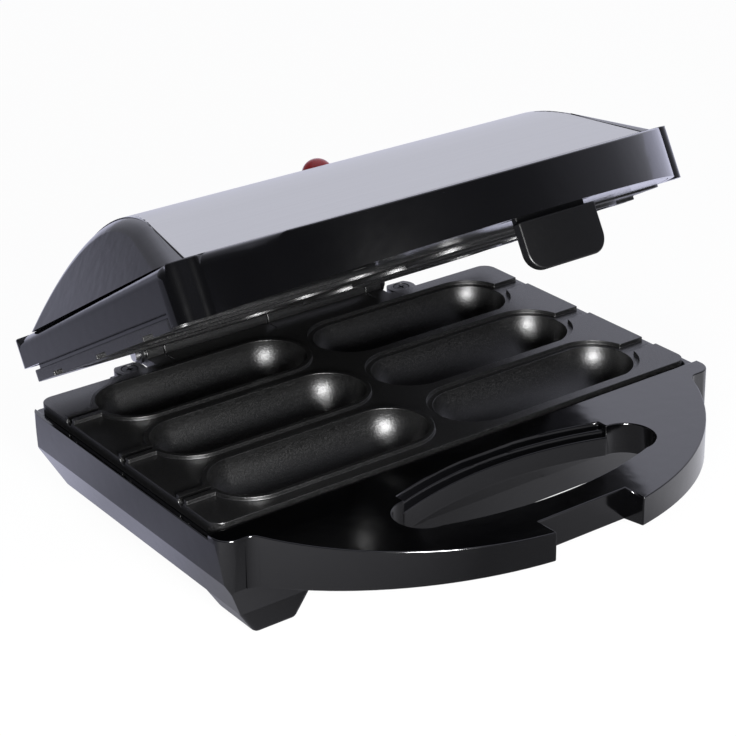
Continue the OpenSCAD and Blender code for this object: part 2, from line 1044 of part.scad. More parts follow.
// Lead along a list of points
module lead(points) {
    for (n = [0 : len(points) - 2]) {
        step = points[n + 1] - points[n];
        run = norm(step);
        translate(points[n]) {
            rotate([0, acos(step.z / run), atan2(step.y, step.x)])
                cylinder(h = run, r = lead_r, $fn = 24);
            if (n > 0)
                sphere(lead_r, $fn = 24);
        }
    }
}

module lower_wiring() {
    side_x = -floor_half + wall;
    block_end = block_x - block_size.x / 2;
    high = floor_z + wall + 6.5;
    low = floor_z + wall + 2.2;
    near_y = heater_half - row_shift;
    far_y = -heater_half - row_shift;
    tab_z = strap_z - strap_t - thermostat_h - 2.2;
    color([0.8, 0.75, 0.7])
        placed() {
            lead([
                [block_end, block_y + 2, high],
                [side_x, block_y + 2, high],
                [side_x, near_y, high],
                [side_x, near_y, -heater_z],
                [-terminal_x - 0.2, near_y, -heater_z]
            ]);
            lead([
                [block_end, block_y - 3, low],
                [side_x, block_y - 3, low],
                [side_x, far_y, low],
                [side_x, far_y, -heater_z],
                [-terminal_x - 0.2, far_y, -heater_z]
            ]);
            lead([
                [block_x + block_size.x / 2, block_y - 2, high + 2],
                [-14, block_y - 2, high + 2],
                [-14, thermostat_y, tab_z],
                [-5.2, thermostat_y, tab_z]
            ]);
        }
}

module upper_wiring() {
    lamp_y = dome_y + (dome_r - lamp_l) * sin(lens_turn);
    lamp_z = dome_z + (dome_r - lamp_l) * cos(lens_turn);
    color([0.8, 0.75, 0.7])
        in_lid()
            for (side = [-1, 1]) {
                y = side * heater_half - row_shift;
                lead([
                    [terminal_x + 0.2, y, heater_z],
                    [lead_side_x, y, heater_z],
                    [lead_side_x, y, lead_top],
                    [side * 2, y, lead_top],
                    [side * 2, lamp_y, lead_top],
                    [side * 2, lamp_y, lamp_z - lead_r * tan(lens_turn)]
                ]);
            }
}

module cord_gland() {
    color([0.08, 0.08, 0.08])
        placed()
            translate([inlet_x, rim_rear, -inlet_z])
                rotate([90, 0, 0])
                    difference() {
                        union() {
                            cylinder(h = wall + 6, r = inlet_r + 2.6);
                            translate([0, 0, -2.5])
                                cylinder(h = 2.5, r = inlet_r + 4.6);
                        }
                        cylinder(h = past, r = inlet_r, center = true);
                    }
}

pin_half = knuckle_long + knuckle_short + 4;
clip_t = 1.5;

module hinge_pin() {
    color("silver")
        placed()
            translate([0, hinge_y, hinge_z])
                rod_x(-pin_half, pin_half, pin_r);
}

module hinge_clips() {
    color("dimgray")
        placed()
            for (side = [-1, 1])
                translate([side * (pin_half - 2.5), hinge_y, hinge_z])
                    difference() {
                        rod_x(-clip_t / 2, clip_t / 2, pin_r + 1.8);
                        rod_x(-past, past, pin_r + 0.02);
                    }
}

// Arch along X: an arc in (Y, Z) that crosses into a straight ramp at each end
module arch(inset, low) {
    r = dome_r - inset;
    reach = r - ramp_sink;
    front = [dome_y - reach * sin(ramp_front), dome_z + reach * cos(ramp_front)];
    rear = [dome_y + reach * sin(ramp_rear), dome_z + reach * cos(ramp_rear)];
    along_x(past)
        intersection() {
            translate([dome_y, dome_z])
                circle(r, $fn = 180);
            translate([dome_y - past / 2, low + bite])
                square([past, past]);
        }
    along_x(past)
        polygon([
            [front.x - (front.y - low) / tan(ramp_front), low],
            front,
            rear,
            [rear.x + (rear.y - low) / tan(ramp_rear), low]
        ]);
}

// Slab in (X, Z) whose sides lean in by run between the rim and the top of the arch
module leaning_sides(half, run, low) {
    high = dome_h + 5;
    rise = dome_h - cap_z;
    at_low = half + run * (cap_z - low) / rise;
    at_high = half - run * (high - cap_z) / rise;
    along_y(past)
        polygon([[-at_low, low], [at_low, low], [at_high, high], [-at_high, high]]);
}

module lid_dome(inset, side_inset, low) {
    intersection() {
        arch(inset, low);
        leaning_sides(half_w - cap_ledge - side_inset, cap_run, low);
        tall(low, past)
            rim_outline(side_inset);
    }
}

// Rim and bow of the lid, below their sloping top
module lid_block(inset, low) {
    intersection() {
        tall(low, past)
            body_outline(inset);
        along_x(past)
            polygon([
                [bow_front - bite, low],
                [bow_front - bite, bow_tip_top - inset],
                [rim_front, rim_front_h - inset],
                [rim_rear + bite, rim_rear_h - inset],
                [rim_rear + bite, low]
            ]);
    }
}

// Sheet over the arch between two leaning ends, raised past the arch for its seat
module panel(half, raise) {
    intersection() {
        difference() {
            lid_dome(-raise, -raise, cap_z - 2);
            lid_dome(steel_t, -past / 10, cap_z - 4);
        }
        leaning_sides(half, steel_run, cap_z - 2);
    }
}

module lid_shell() {
    difference() {
        union() {
            difference() {
                lid_block(0, front_lift);
                // The sides and the back stop above the plate's edge
                translate([-past / 2, rim_front + 8, -past])
                    cube([past, past, past + side_lift]);
            }
            lid_dome(0, 0, cap_z - 2.3);
        }
        lid_block(wall, -bite);
        lid_dome(wall + steel_t, wall, plate_edge);
    }
}

// How far the ledge's outside stays within the plate's edge
ledge_in = 2.2;

// Ledge that bears on the upper plate's edge
module lid_ledge() {
    difference() {
        union() {
            tall(plate_edge, side_lift + 2)
                plate_outline(-ledge_in);
            tall(side_lift + 0.2, side_lift + 2)
                rim_outline(bite);
        }
        tall(0, past)
            plate_outline(-ledge_w);
    }
}

module inside_dome() {
    intersection() {
        children();
        union() {
            lid_dome(steel_t + bite / 2, bite, 0);
            lid_block(bite, 0);
        }
    }
}

module lid_posts() {
    inside_dome() {
        for (y = [post_front_y, post_rear_y])
            translate([0, y, post_l])
                cylinder(h = past, r = post_r);
        for (x = [-shield_x, shield_x], y = shield_y)
            translate([x, y, shield_lid])
                cylinder(h = past, r = shield_post_r);
        both_sides() {
            translate([cover_screw_x, cover_screw_y, front_lift + cover_t])
                cylinder(h = past, r = 4);
            latch_cheek();
        }
    }
    both_sides()
        translate([ear_x - ear_r, rim_rear - wall, plate_edge])
            cube([2 * ear_r, ear_y + 4 - rim_rear + wall, 8.5]);
}

cheek_t = 2.5;
cheek_gap = 0.4;
latch_pin_half = latch_w / 2 + cheek_gap + cheek_t;

// Bracket inside the bow that holds the latch pin
module latch_cheek() {
    translate([latch_w / 2 + cheek_gap, latch_y - 4, front_lift + cover_t + cover_clear])
        cube([cheek_t, 8, past]);
}

module upper_housing() {
    color([0.06, 0.06, 0.065])
        in_lid()
            difference() {
                union() {
                    lid_shell();
                    lid_ledge();
                    lid_posts();
                }
                difference() {
                    panel(steel_half + steel_gap, bite);
                    lid_block(0, 0);
                }
                for (y = [post_front_y, post_rear_y])
                    translate([0, y, 0]) {
                        cylinder(h = past, r = screw_r + screw_clear);
                        translate([0, 0, -screw_seat_z])
                            cylinder(h = past, r = screw_head_r + 0.4);
                    }
                bowl_room();
                both_sides() {
                    translate([ear_x, ear_y, 0])
                        cylinder(h = plate_edge + ear_screw_l, r = screw_r + screw_clear);
                    translate([cover_screw_x, cover_screw_y, 0])
                        cylinder(h = cover_screw_l + 2, r = cover_screw_r + screw_clear);
                }
                translate([0, latch_y, latch_z])
                    rod_x(-latch_pin_half, latch_pin_half, latch_pin_r + screw_clear);
                on_panel()
                    cylinder(h = past / 10, r = lens_r + 0.2, center = true);
            }
}

module steel_panel() {
    color([0.75, 0.75, 0.77])
        in_lid()
            difference() {
                panel(steel_half, 0);
                lid_block(-steel_gap, 0);
                on_panel()
                    cylinder(h = past / 10, r = lens_r + 0.2, center = true);
            }
}

cover_screw_r = 1.6;
cover_head_r = 3;

// Flat underside of the lid's bow, with an opening for the latch
module handle_cover() {
    color([0.06, 0.06, 0.065])
        in_lid()
            difference() {
                tall(front_lift, front_lift + cover_t)
                    intersection() {
                        body_outline(wall + cover_clear);
                        translate([-past, bow_front - bite])
                            square([2 * past, rim_front + 8 - bow_front + bite]);
                    }
                translate([-latch_w / 2 - 1.2, bow_front - bite, -past / 2])
                    cube([latch_w + 2.4, bite + pivot_in + 6, past]);
                both_sides()
                    translate([cover_screw_x, cover_screw_y, 0]) {
                        cylinder(h = past, r = cover_screw_r + screw_clear);
                        cylinder(h = front_lift + 1.3, r = cover_head_r + 0.3);
                    }
            }
}

module handle_cover_screws() {
    color("silver")
        in_lid()
            both_sides()
                translate([cover_screw_x, cover_screw_y, front_lift + 0.1]) {
                    cylinder(h = 1.2, r = cover_head_r);
                    cylinder(h = cover_screw_l, r = cover_screw_r);
                }
}

lens_turn = asin(lens_back / dome_r);

// Stands children on the arch, square to it, where the lens is
module on_panel() {
    translate([0, dome_y, dome_z])
        rotate([-lens_turn, 0, 0])
            translate([0, 0, dome_r])
                children();
}

lens_wall = 1.4;
lens_flange = 1.6;
// Depth of the lens under the panel, so that its flange clears the curved wall
lens_deep = wall + steel_t + 0.1 + pow(lens_r + lens_flange, 2) / (dome_r - wall - steel_t) / 2;

module indicator_lens() {
    cap_r = (pow(lens_r, 2) + pow(lens_h, 2)) / (2 * lens_h);
    color([0.75, 0.05, 0.06])
        in_lid()
            on_panel()
                difference() {
                    union() {
                        intersection() {
                            translate([0, 0, lens_h - cap_r])
                                sphere(cap_r, $fn = 96);
                            cylinder(h = past / 10, r = lens_r);
                        }
                        translate([0, 0, -lens_deep])
                            cylinder(h = lens_deep + bite / 10, r = lens_r);
                        translate([0, 0, -lens_deep - 1.2])
                            cylinder(h = 1.2, r = lens_r + lens_flange);
                    }
                    translate([0, 0, -past / 10])
                        cylinder(h = past / 10, r = lens_r - lens_wall);
                }
}

lamp_r = 3;
lamp_l = 12;
// Middle of the bulb's round end, which stays below the lens
bulb_z = -lamp_r - 0.6;

module indicator_lamp() {
    color([0.95, 0.75, 0.6])
        in_lid()
            on_panel() {
                translate([0, 0, -lamp_l])
                    cylinder(h = lamp_l + bulb_z, r = lamp_r);
                translate([0, 0, bulb_z])
                    sphere(lamp_r);
                translate([0, 0, -lens_deep - 5.2])
                    cylinder(h = 4, r = lens_r + 1);
            }
}

module latch_pin() {
    color("silver")
        in_lid()
            translate([0, latch_y, latch_z])
                rod_x(-latch_pin_half, latch_pin_half, latch_pin_r);
}

module latch() {
    top = front_lift - latch_gap;
    low = top - latch_h;
    catch_y = bow_front + notch_depth - catch_clear;
    outer_r = bow_r - 0.7;
    // Middle of the curved face's thickness, where the neck and the catch begin
    mid_y = bow_y - outer_r + latch_t / 2;
    // Keeps the front of the ring and leaves out its back
    ring_keep = 40;
    color([0.06, 0.06, 0.065])
        in_lid()
            difference() {
                union() {
                    // Curved face with rounded lower corners, and the catch behind it
                    intersection() {
                        union() {
                            translate([0, bow_y, 0])
                                difference() {
                                    tall(low, top)
                                        circle(outer_r, $fn = 180);
                                    tall(low - bite, top + bite)
                                        circle(outer_r - latch_t, $fn = 180);
                                }
                            along_x(catch_w)
                                polygon([
                                    [mid_y, low],
                                    [mid_y, low + catch_t],
                                    [catch_y, low + catch_t],
                                    [catch_y, low + catch_t - 0.5]
                                ]);
                        }
                        translate([0, latch_y, 0])
                            along_y(ring_keep)
                                rounded_box(-latch_w / 2, latch_w / 2, low, top + 20, latch_corner);
                    }
                    translate([-latch_w / 2 + 2, latch_y - 1.8, top - 3])
                        cube([latch_w - 4, 3, latch_z - top + 3]);
                    translate([-latch_w / 2 + 2, mid_y, top - 3])
                        cube([latch_w - 4, latch_y - mid_y, 3]);
                    translate([0, latch_y, latch_z])
                        rod_x(-latch_w / 2 + 1, latch_w / 2 - 1, latch_barrel_r);
                }
                translate([0, latch_y, latch_z])
                    rod_x(-past / 2, past / 2, latch_pin_r + pin_clear);
            }
}

lower_housing();
foot_pads();
lower_plate();
lower_ear_screws();
lower_plate_screws();
lower_heater();
lower_strap();
lower_strap_screw();
thermostat();
thermal_fuse();
lower_heat_shield();
terminal_block();
lower_wiring();
cord_gland();
hinge_pin();
hinge_clips();
upper_housing();
steel_panel();
upper_plate();
upper_ear_screws();
upper_plate_screws();
upper_heater();
upper_strap();
upper_strap_screw();
upper_heat_shield();
upper_wiring();
handle_cover();
handle_cover_screws();
indicator_lens();
indicator_lamp();
latch_pin();
latch();
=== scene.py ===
"""Looks of the corn dog maker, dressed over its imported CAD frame, in metres."""

import json
import math

import bmesh
import bpy
from mathutils import Matrix, Vector
from mathutils.geometry import area_tri, delaunay_2d_cdt, tessellate_polygon


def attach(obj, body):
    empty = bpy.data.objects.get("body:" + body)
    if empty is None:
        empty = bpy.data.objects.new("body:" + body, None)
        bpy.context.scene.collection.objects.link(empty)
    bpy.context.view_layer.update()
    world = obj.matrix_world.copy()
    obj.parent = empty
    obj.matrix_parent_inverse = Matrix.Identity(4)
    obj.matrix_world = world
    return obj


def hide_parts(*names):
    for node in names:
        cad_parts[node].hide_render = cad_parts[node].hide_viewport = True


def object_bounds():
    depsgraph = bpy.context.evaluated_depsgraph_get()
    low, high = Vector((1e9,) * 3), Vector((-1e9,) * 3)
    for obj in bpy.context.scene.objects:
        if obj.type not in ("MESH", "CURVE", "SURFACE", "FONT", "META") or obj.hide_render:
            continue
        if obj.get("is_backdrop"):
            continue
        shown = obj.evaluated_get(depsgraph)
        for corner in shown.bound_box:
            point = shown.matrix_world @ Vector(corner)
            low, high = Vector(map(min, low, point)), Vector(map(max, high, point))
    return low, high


MM = 0.001

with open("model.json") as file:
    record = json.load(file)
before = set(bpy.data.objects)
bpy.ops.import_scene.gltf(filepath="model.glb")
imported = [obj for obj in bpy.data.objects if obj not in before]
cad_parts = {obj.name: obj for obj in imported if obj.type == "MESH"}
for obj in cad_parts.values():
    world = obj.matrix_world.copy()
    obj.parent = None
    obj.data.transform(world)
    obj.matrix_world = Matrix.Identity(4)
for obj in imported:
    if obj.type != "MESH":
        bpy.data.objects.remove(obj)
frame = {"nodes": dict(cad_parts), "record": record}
cad_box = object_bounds()
scene = bpy.context.scene

# Middle of the lower plate's top, from which the camera was measured
PLATE_MIDDLE = Vector((0, 32.25, 50)) * MM
# Turns the open lid back down about its hinge, so that its places can be named
HINGE = Vector((0, 112.75, 50.6)) * MM
LID_OPEN = math.radians(29)
LID_SHUT = (
    Matrix.Translation(HINGE)
    @ Matrix.Rotation(LID_OPEN, 4, "X")
    @ Matrix.Translation(-HINGE)
)

# The photograph's camera: angles in degrees, places in metres, lens in pixels
CAMERA_TURN = -35.611
CAMERA_HEIGHT = 24.984
CAMERA_ROLL = -1.169
CAMERA_DISTANCE = 0.919605
CAMERA_ASIDE = 0.000277
CAMERA_RAISED = 0.004538
CAMERA_FOCUS = 2175.224
PICTURE_WIDTH = 736
SENSOR_WIDTH = 36

# Heading of the brightest wall of the studio
BRIGHT_WALL = (0.766, 0.643, 0.35)
FLOOR_HALF = 4
# Share of plain white that the camera sees in the floor, beside its shadow
FLOOR_WHITE = 0.96
LAMP_PLACE = (-0.20, -0.36, 0.174)
LAMP_WIDTH = 0.11
LAMP_WATTS = 5

# Bends in degrees: below FLAT_BEND faces join, above HARD_BEND shading breaks,
# and above EDGE_BEND an edge can be rounded
FLAT_BEND = 0.15
LEAST_CURVE = 0.3
HARD_BEND = 12
EDGE_BEND = 28
# A face broader than this is a plane, and not a strip of a curved surface
STRIP_WIDTH = 6 * MM
WELD_DISTANCE = 0.01 * MM
LEAST_SIDE_PRODUCT = 1e-13
# Kind of fill that keeps inside a face, and its tolerance in millimetres
FILL_INSIDE = 1
FILL_TOLERANCE = 1e-4

# Height over the floor below which an edge belongs to a foot's bottom
FOOT_TOP = 7.5 * MM
# Places from the plate's middle that tell the other edges apart
LID_RIM_TOP = 22.2 * MM
RIM_END_X = 115 * MM
RIM_END_Y = 56 * MM
RIM_END_Z = -9 * MM
SLOT_BACK_X = 40 * MM
SLOT_BACK_Y = (-83 * MM, -78 * MM)
HANDLE_Y = -84 * MM
SHEET_THICK = 1.3 * MM
SHEET_END_X = 90 * MM
# Parts of a face's normal: at least so much up or down, at least so much sideways
# on an end cap, and at most so much sideways on the arch
UP_OR_DOWN = 0.9
CAP_SIDEWAYS = 0.75
ARCH_SIDEWAYS = 0.3

BODY_OF = {
    node: body
    for body, nodes in frame["record"]["behaviour"]["bodies"].items()
    for node in nodes
}


class Wire:
    """A shader socket that takes part in Python sums."""

    def __init__(self, tree, socket):
        self.tree = tree
        self.socket = socket

    def work(self, operation, *values):
        node = self.tree.nodes.new("ShaderNodeMath")
        node.operation = operation
        for socket, value in zip(node.inputs, values):
            feed(self.tree, socket, value)
        return Wire(self.tree, node.outputs[0])

    def __add__(self, other):
        return self.work("ADD", self, other)

    __radd__ = __add__

    def __sub__(self, other):
        return self.work("SUBTRACT", self, other)

    def __rsub__(self, other):
        return self.work("SUBTRACT", other, self)

    def __mul__(self, other):
        return self.work("MULTIPLY", self, other)

    __rmul__ = __mul__


def feed(tree, socket, value):
    """Links a wire to a socket, or sets a constant on it."""
    if isinstance(value, Wire):
        tree.links.new(value.socket, socket)
    elif isinstance(value, (tuple, list)) and len(value) == 3 and socket.type == "RGBA":
        socket.default_value = (*value, 1)
    else:
        socket.default_value = value


class Shader:
    """A node tree to which nodes are added by type, settings and sockets."""

    def __init__(self, tree):
        self.tree = tree
        tree.nodes.clear()

    def add(self, kind, settings=None, sockets=None, out=0):
        node = self.tree.nodes.new("ShaderNode" + kind)
        for name, value in (settings or {}).items():
            if name == "stops":
                set_stops(node.color_ramp, value)
            else:
                setattr(node, name, value)
        for name, value in (sockets or {}).items():
            feed(self.tree, node.inputs[name], value)
        return Wire(self.tree, node.outputs[out]) if node.outputs else None

    def stretched(self, x, y, z):
        place = self.add("TexCoord", out="Object")
        return self.add(
            "VectorMath", {"operation": "MULTIPLY"}, {0: place, 1: (x, y, z)}
        )

    def noise(self, where, detail=2, rough=0.5):
        return self.add(
            "TexNoise",
            sockets={"Vector": where, "Scale": 1, "Detail": detail, "Roughness": rough},
        )

    def tint(self, share, first, second):
        return self.add(
            "Mix",
            {"data_type": "RGBA"},
            {"Factor": share, 6: first, 7: second},
            out=2,
        )

    def ramp(self, share, *stops):
        return self.add("ValToRGB", {"stops": stops}, {"Fac": share})

    def bump(self, height, strength, distance):
        return self.add(
            "Bump",
            sockets={"Height": height, "Strength": strength, "Distance": distance},
        )

    def end(self, kind, surface):
        self.add("Output" + kind, sockets={"Surface": surface})


def set_stops(ramp, stops):
    while len(ramp.elements) < len(stops):
        ramp.elements.new(1)
    for element, (place, level) in zip(ramp.elements, stops):
        element.position = place
        element.color = (level, level, level, 1)


def finish_of(name, write):
    """A material whose write function returns the sockets of its surface."""
    material = bpy.data.materials.new(name)
    material.use_nodes = True
    shader = Shader(material.node_tree)
    shader.end("Material", shader.add("BsdfPrincipled", sockets=write(shader)))
    return material


def gloss_black(shader):
    """Polished black moulding with faint haze and a slight flow in its skin."""
    haze = shader.noise(shader.stretched(60, 60, 60), 4)
    flow = shader.noise(shader.stretched(160, 160, 160), 1)
    return {
        "Base Color": shader.tint(
            haze, (0.0002, 0.0002, 0.0003), (0.0006, 0.0006, 0.0007)
        ),
        "Roughness": 0.09 + 0.06 * haze,
        "Specular IOR Level": 0.9,
        "Normal": shader.bump(flow, 0.12, 0.4 * MM),
    }


def satin_black(shader):
    """Fine spark texture of the latch and the hidden mouldings."""
    grain = shader.noise(shader.stretched(1800, 1800, 1800), 2)
    return {
        "Base Color": shader.tint(
            grain, (0.0008, 0.0008, 0.0009), (0.002, 0.002, 0.0022)
        ),
        "Roughness": 0.30 + 0.14 * grain,
        "Specular IOR Level": 0.3,
        "Normal": shader.bump(grain, 0.2, 0.05 * MM),
    }


def nonstick_coat(shader):
    """Dark sprayed coating with a fine grain and pale specks over the cast plates."""
    grain = shader.noise(shader.stretched(1300, 1300, 1300), 3, 0.7)
    speck = shader.noise(shader.stretched(2600, 2600, 2600), 1)
    bright = shader.ramp(speck, (0.52, 0), (0.62, 1))
    return {
        "Base Color": shader.tint(
            bright, (0.0006, 0.0006, 0.0006), (0.014, 0.014, 0.0142)
        ),
        "Roughness": 0.26 + 0.14 * grain,
        "Specular IOR Level": 0.8,
        "Normal": shader.bump(grain, 0.8, 0.16 * MM),
    }


def brushed_steel(shader):
    """Sheet brushed along the width of the lid."""
    fine = shader.noise(shader.stretched(14, 3200, 3200), 3, 0.6)
    broad = shader.noise(shader.stretched(5, 700, 700), 2)
    brush = 0.6 * fine + 0.4 * broad
    return {
        "Base Color": shader.tint(brush, (0.50, 0.50, 0.48), (0.64, 0.64, 0.62)),
        "Metallic": 1,
        "Roughness": 0.26 + 0.16 * brush,
        "Normal": shader.bump(brush, 0.25, 0.05 * MM),
    }


def plain_metal(dark, pale, rough):
    """Bare or plated metal, clouded between two colours."""

    def write(shader):
        cloud = shader.noise(shader.stretched(300, 300, 300), 4)
        return {
            "Base Color": shader.tint(cloud, dark, pale),
            "Metallic": 1,
            "Roughness": rough + 0.15 * cloud,
        }

    return write


def plain_skin(dark, pale, rough):
    """Rubber, ceramic, glass or sleeve, clouded between two colours."""

    def write(shader):
        cloud = shader.noise(shader.stretched(500, 500, 500), 3)
        return {
            "Base Color": shader.tint(cloud, dark, pale),
            "Roughness": rough + 0.12 * cloud,
            "Normal": shader.bump(cloud, 0.15, 0.1 * MM),
        }

    return write


FINISHES = {
    "black_plastic": finish_of("gloss_black", gloss_black),
    "black_satin": finish_of("satin_black", satin_black),
    "nonstick": finish_of("nonstick_coat", nonstick_coat),
    "steel": finish_of("brushed_steel", brushed_steel),
    "zinc": finish_of(
        "zinc_plate", plain_metal((0.42, 0.42, 0.43), (0.6, 0.6, 0.6), 0.3)
    ),
    "black_zinc": finish_of(
        "black_screw", plain_metal((0.03, 0.03, 0.032), (0.055, 0.055, 0.058), 0.35)
    ),
    "element": finish_of(
        "element_tube", plain_metal((0.20, 0.19, 0.18), (0.34, 0.32, 0.30), 0.42)
    ),
    "shield": finish_of(
        "shield_sheet", plain_metal((0.55, 0.55, 0.55), (0.7, 0.7, 0.7), 0.35)
    ),
    "ceramic": finish_of(
        "ceramic_block", plain_skin((0.72, 0.69, 0.62), (0.82, 0.79, 0.73), 0.5)
    ),
    "lead": finish_of(
        "lead_sleeve", plain_skin((0.50, 0.46, 0.40), (0.62, 0.58, 0.52), 0.55)
    ),
    "rubber": finish_of(
        "pad_rubber", plain_skin((0.02, 0.02, 0.02), (0.04, 0.04, 0.04), 0.7)
    ),
    "red_lens": finish_of(
        "red_lens", plain_skin((0.42, 0.012, 0.012), (0.55, 0.02, 0.02), 0.12)
    ),
    "lamp": finish_of(
        "lamp_glass", plain_skin((0.6, 0.45, 0.36), (0.72, 0.56, 0.46), 0.1)
    ),
}


def place_camera():
    """The photograph's camera, turned, raised and rolled about the plate."""
    turn = math.radians(CAMERA_TURN)
    height = math.radians(CAMERA_HEIGHT)
    roll = math.radians(CAMERA_ROLL)
    back = Vector(
        (
            math.sin(turn) * math.cos(height),
            -math.cos(turn) * math.cos(height),
            math.sin(height),
        )
    )
    level = Vector((math.cos(turn), math.sin(turn), 0))
    upright = back.cross(level)
    right = math.cos(roll) * level + math.sin(roll) * upright
    up = math.cos(roll) * upright - math.sin(roll) * level
    eye = PLATE_MIDDLE + CAMERA_DISTANCE * back
    eye += CAMERA_ASIDE * right + CAMERA_RAISED * up
    camera = bpy.data.cameras.new("camera")
    camera.sensor_width = SENSOR_WIDTH
    camera.lens = SENSOR_WIDTH * CAMERA_FOCUS / PICTURE_WIDTH
    stand = bpy.data.objects.new("camera", camera)
    stand.matrix_world = Matrix(
        (
            (right.x, up.x, back.x, eye.x),
            (right.y, up.y, back.y, eye.y),
            (right.z, up.z, back.z, eye.z),
            (0, 0, 0, 1),
        )
    )
    scene.collection.objects.link(stand)
    scene.camera = stand


def light_studio():
    """Studio lit from behind on the right and from above, and dim elsewhere."""
    world = bpy.data.worlds.new("studio")
    world.use_nodes = True
    scene.world = world
    shader = Shader(world.node_tree)
    heading = shader.add("TexCoord", out="Generated")
    x, y, z = (
        shader.add("SeparateXYZ", sockets={0: heading}, out=axis) for axis in "XYZ"
    )
    to_x, to_y, to_z = BRIGHT_WALL
    walls = shader.ramp(
        0.5 + 0.5 * (to_x * x + to_y * y + to_z * z),
        (0.10, 0.06),
        (0.45, 0.10),
        (0.55, 0.13),
        (0.67, 0.24),
        (0.82, 0.36),
        (0.90, 0.55),
        (0.98, 1),
    )
    ceiling = shader.ramp(z, (0.65, 0), (0.95, 0.6))
    light = shader.tint(walls + ceiling, (0, 0, 0), (0.85, 0.86, 1.0))
    seen = shader.add("LightPath", out="Is Camera Ray")
    room = shader.add("Background", sockets={"Color": light, "Strength": 1})
    plain = shader.add("Background", sockets={"Color": (1, 1, 1), "Strength": 1})
    shader.end("World", shader.add("MixShader", sockets={0: seen, 1: room, 2: plain}))


def floor_glow(shader):
    """Painted light of the floor as the gloss mirrors it: pale behind, dim in front, and
    darkest below the body, where its shadow is painted in.
    """
    place = shader.add("TexCoord", out="Object")
    x, y = (shader.add("SeparateXYZ", sockets={0: place}, out=axis) for axis in "XY")
    # The low middle of this ramp is painted shadow of the body on the floor
    front = shader.ramp(
        0.5 + x,
        (0.26, 0.65),
        (0.38, 0.36),
        (0.44, 0.17),
        (0.50, 0.20),
        (0.56, 0.32),
        (0.62, 0.85),
        (0.68, 1),
    )
    back = shader.ramp(
        0.5 + y, (0.44, 0.30), (0.50, 0.42), (0.54, 0.60), (0.58, 0.62), (0.63, 1)
    )
    left = shader.ramp(
        0.5 + x, (0.14, 0.32), (0.20, 0.34), (0.26, 0.44), (0.33, 0.58), (0.38, 1)
    )
    far = shader.ramp(0.25 * y, (0.12, 0), (0.30, 0.22), (0.50, 0.14), (0.75, 0))
    behind = shader.ramp(0.5 + y, (0.45, 0), (0.52, 1))
    level = front + (back * left + far - front) * behind
    tone = shader.tint(behind, (0.93, 0.93, 1.0), (0.79, 0.80, 1.0))
    return shader.add(
        "Mix",
        {"data_type": "RGBA", "blend_type": "MULTIPLY"},
        {"Factor": 1, 6: tone, 7: level},
        out=2,
    )


def lay_floor():
    """Pale floor that keeps a faint shadow and shows white to the camera."""
    mesh = bpy.data.meshes.new("floor")
    half = FLOOR_HALF
    mesh.from_pydata(
        [(-half, -half, 0), (half, -half, 0), (half, half, 0), (-half, half, 0)],
        [],
        [(0, 1, 2, 3)],
    )
    floor = bpy.data.objects.new("floor", mesh)
    scene.collection.objects.link(floor)
    material = bpy.data.materials.new("pale_floor")
    material.use_nodes = True
    shader = Shader(material.node_tree)
    matt = shader.add("BsdfDiffuse", sockets={"Color": (0.9, 0.9, 0.9)})
    white = shader.add("Emission", sockets={"Color": (1, 1, 1), "Strength": 1})
    glow = floor_glow(shader)
    mirror = shader.add("Emission", sockets={"Color": glow, "Strength": 1})
    seen = shader.add("LightPath", out="Is Camera Ray")
    glossy = shader.add("LightPath", out="Is Glossy Ray")
    see_through = shader.add("LightPath", out="Is Transmission Ray")
    mirrored = glossy + see_through
    surface = shader.add("MixShader", sockets={0: mirrored, 1: matt, 2: mirror})
    surface = shader.add(
        "MixShader", sockets={0: FLOOR_WHITE * seen, 1: surface, 2: white}
    )
    shader.end("Material", surface)
    mesh.materials.append(material)
    floor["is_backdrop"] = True


def hang_front_lamp():
    """Low lamp in front, whose light glints in the ends of the moulds."""
    lamp = bpy.data.lights.new("front_lamp", "AREA")
    lamp.shape = "SQUARE"
    lamp.size = LAMP_WIDTH
    lamp.energy = LAMP_WATTS
    stand = bpy.data.objects.new("front_lamp", lamp)
    stand.location = LAMP_PLACE
    aim = PLATE_MIDDLE - Vector(LAMP_PLACE)
    stand.rotation_euler = aim.to_track_quat("-Z", "Y").to_euler()
    scene.collection.objects.link(stand)


def is_sharp(edge, least=EDGE_BEND):
    bend = math.degrees(edge.calc_face_angle(0))
    return len(edge.link_faces) == 2 and bend > least


def middle(edge):
    return (edge.verts[0].co + edge.verts[1].co) / 2


def outer_edge(edge):
    """Sharp edge that stands out of the piece."""
    return is_sharp(edge) and edge.is_convex


def cap_edge(edge):
    """Edge between an end cap of the lid and its arch."""
    if not outer_edge(edge):
        return False
    at = middle(edge)
    faces = sorted(edge.link_faces, key=lambda face: abs(face.normal.x))
    over_rim = (LID_SHUT @ at - PLATE_MIDDLE).z > LID_RIM_TOP
    arch, cap = (face.normal.x for face in faces)
    cap_side = cap * at.x > 0 and abs(cap) > CAP_SIDEWAYS
    return over_rim and cap_side and abs(arch) < ARCH_SIDEWAYS


def lid_edge(edge):
    """Edge of the lid, apart from those around its open underside."""
    turned = LID_SHUT.to_3x3()
    lowest = min((turned @ face.normal).z for face in edge.link_faces)
    return outer_edge(edge) and lowest > -UP_OR_DOWN


def foot_edge(edge):
    """Edge round the bottom of a foot."""
    return outer_edge(edge) and middle(edge).z < FOOT_TOP


def base_edge(edge):
    """Edge of the base's rim or handle, but not of its thin ends or the slot's back."""
    at = middle(edge) - PLATE_MIDDLE
    thin_end = abs(at.x) > RIM_END_X and at.y > RIM_END_Y and at.z > RIM_END_Z
    slot_back = abs(at.x) < SLOT_BACK_X and SLOT_BACK_Y[0] < at.y < SLOT_BACK_Y[1]
    if thin_end or slot_back:
        return False
    on_top = max(face.normal.z for face in edge.link_faces) > UP_OR_DOWN
    return outer_edge(edge) and (on_top or at.y < HANDLE_Y)


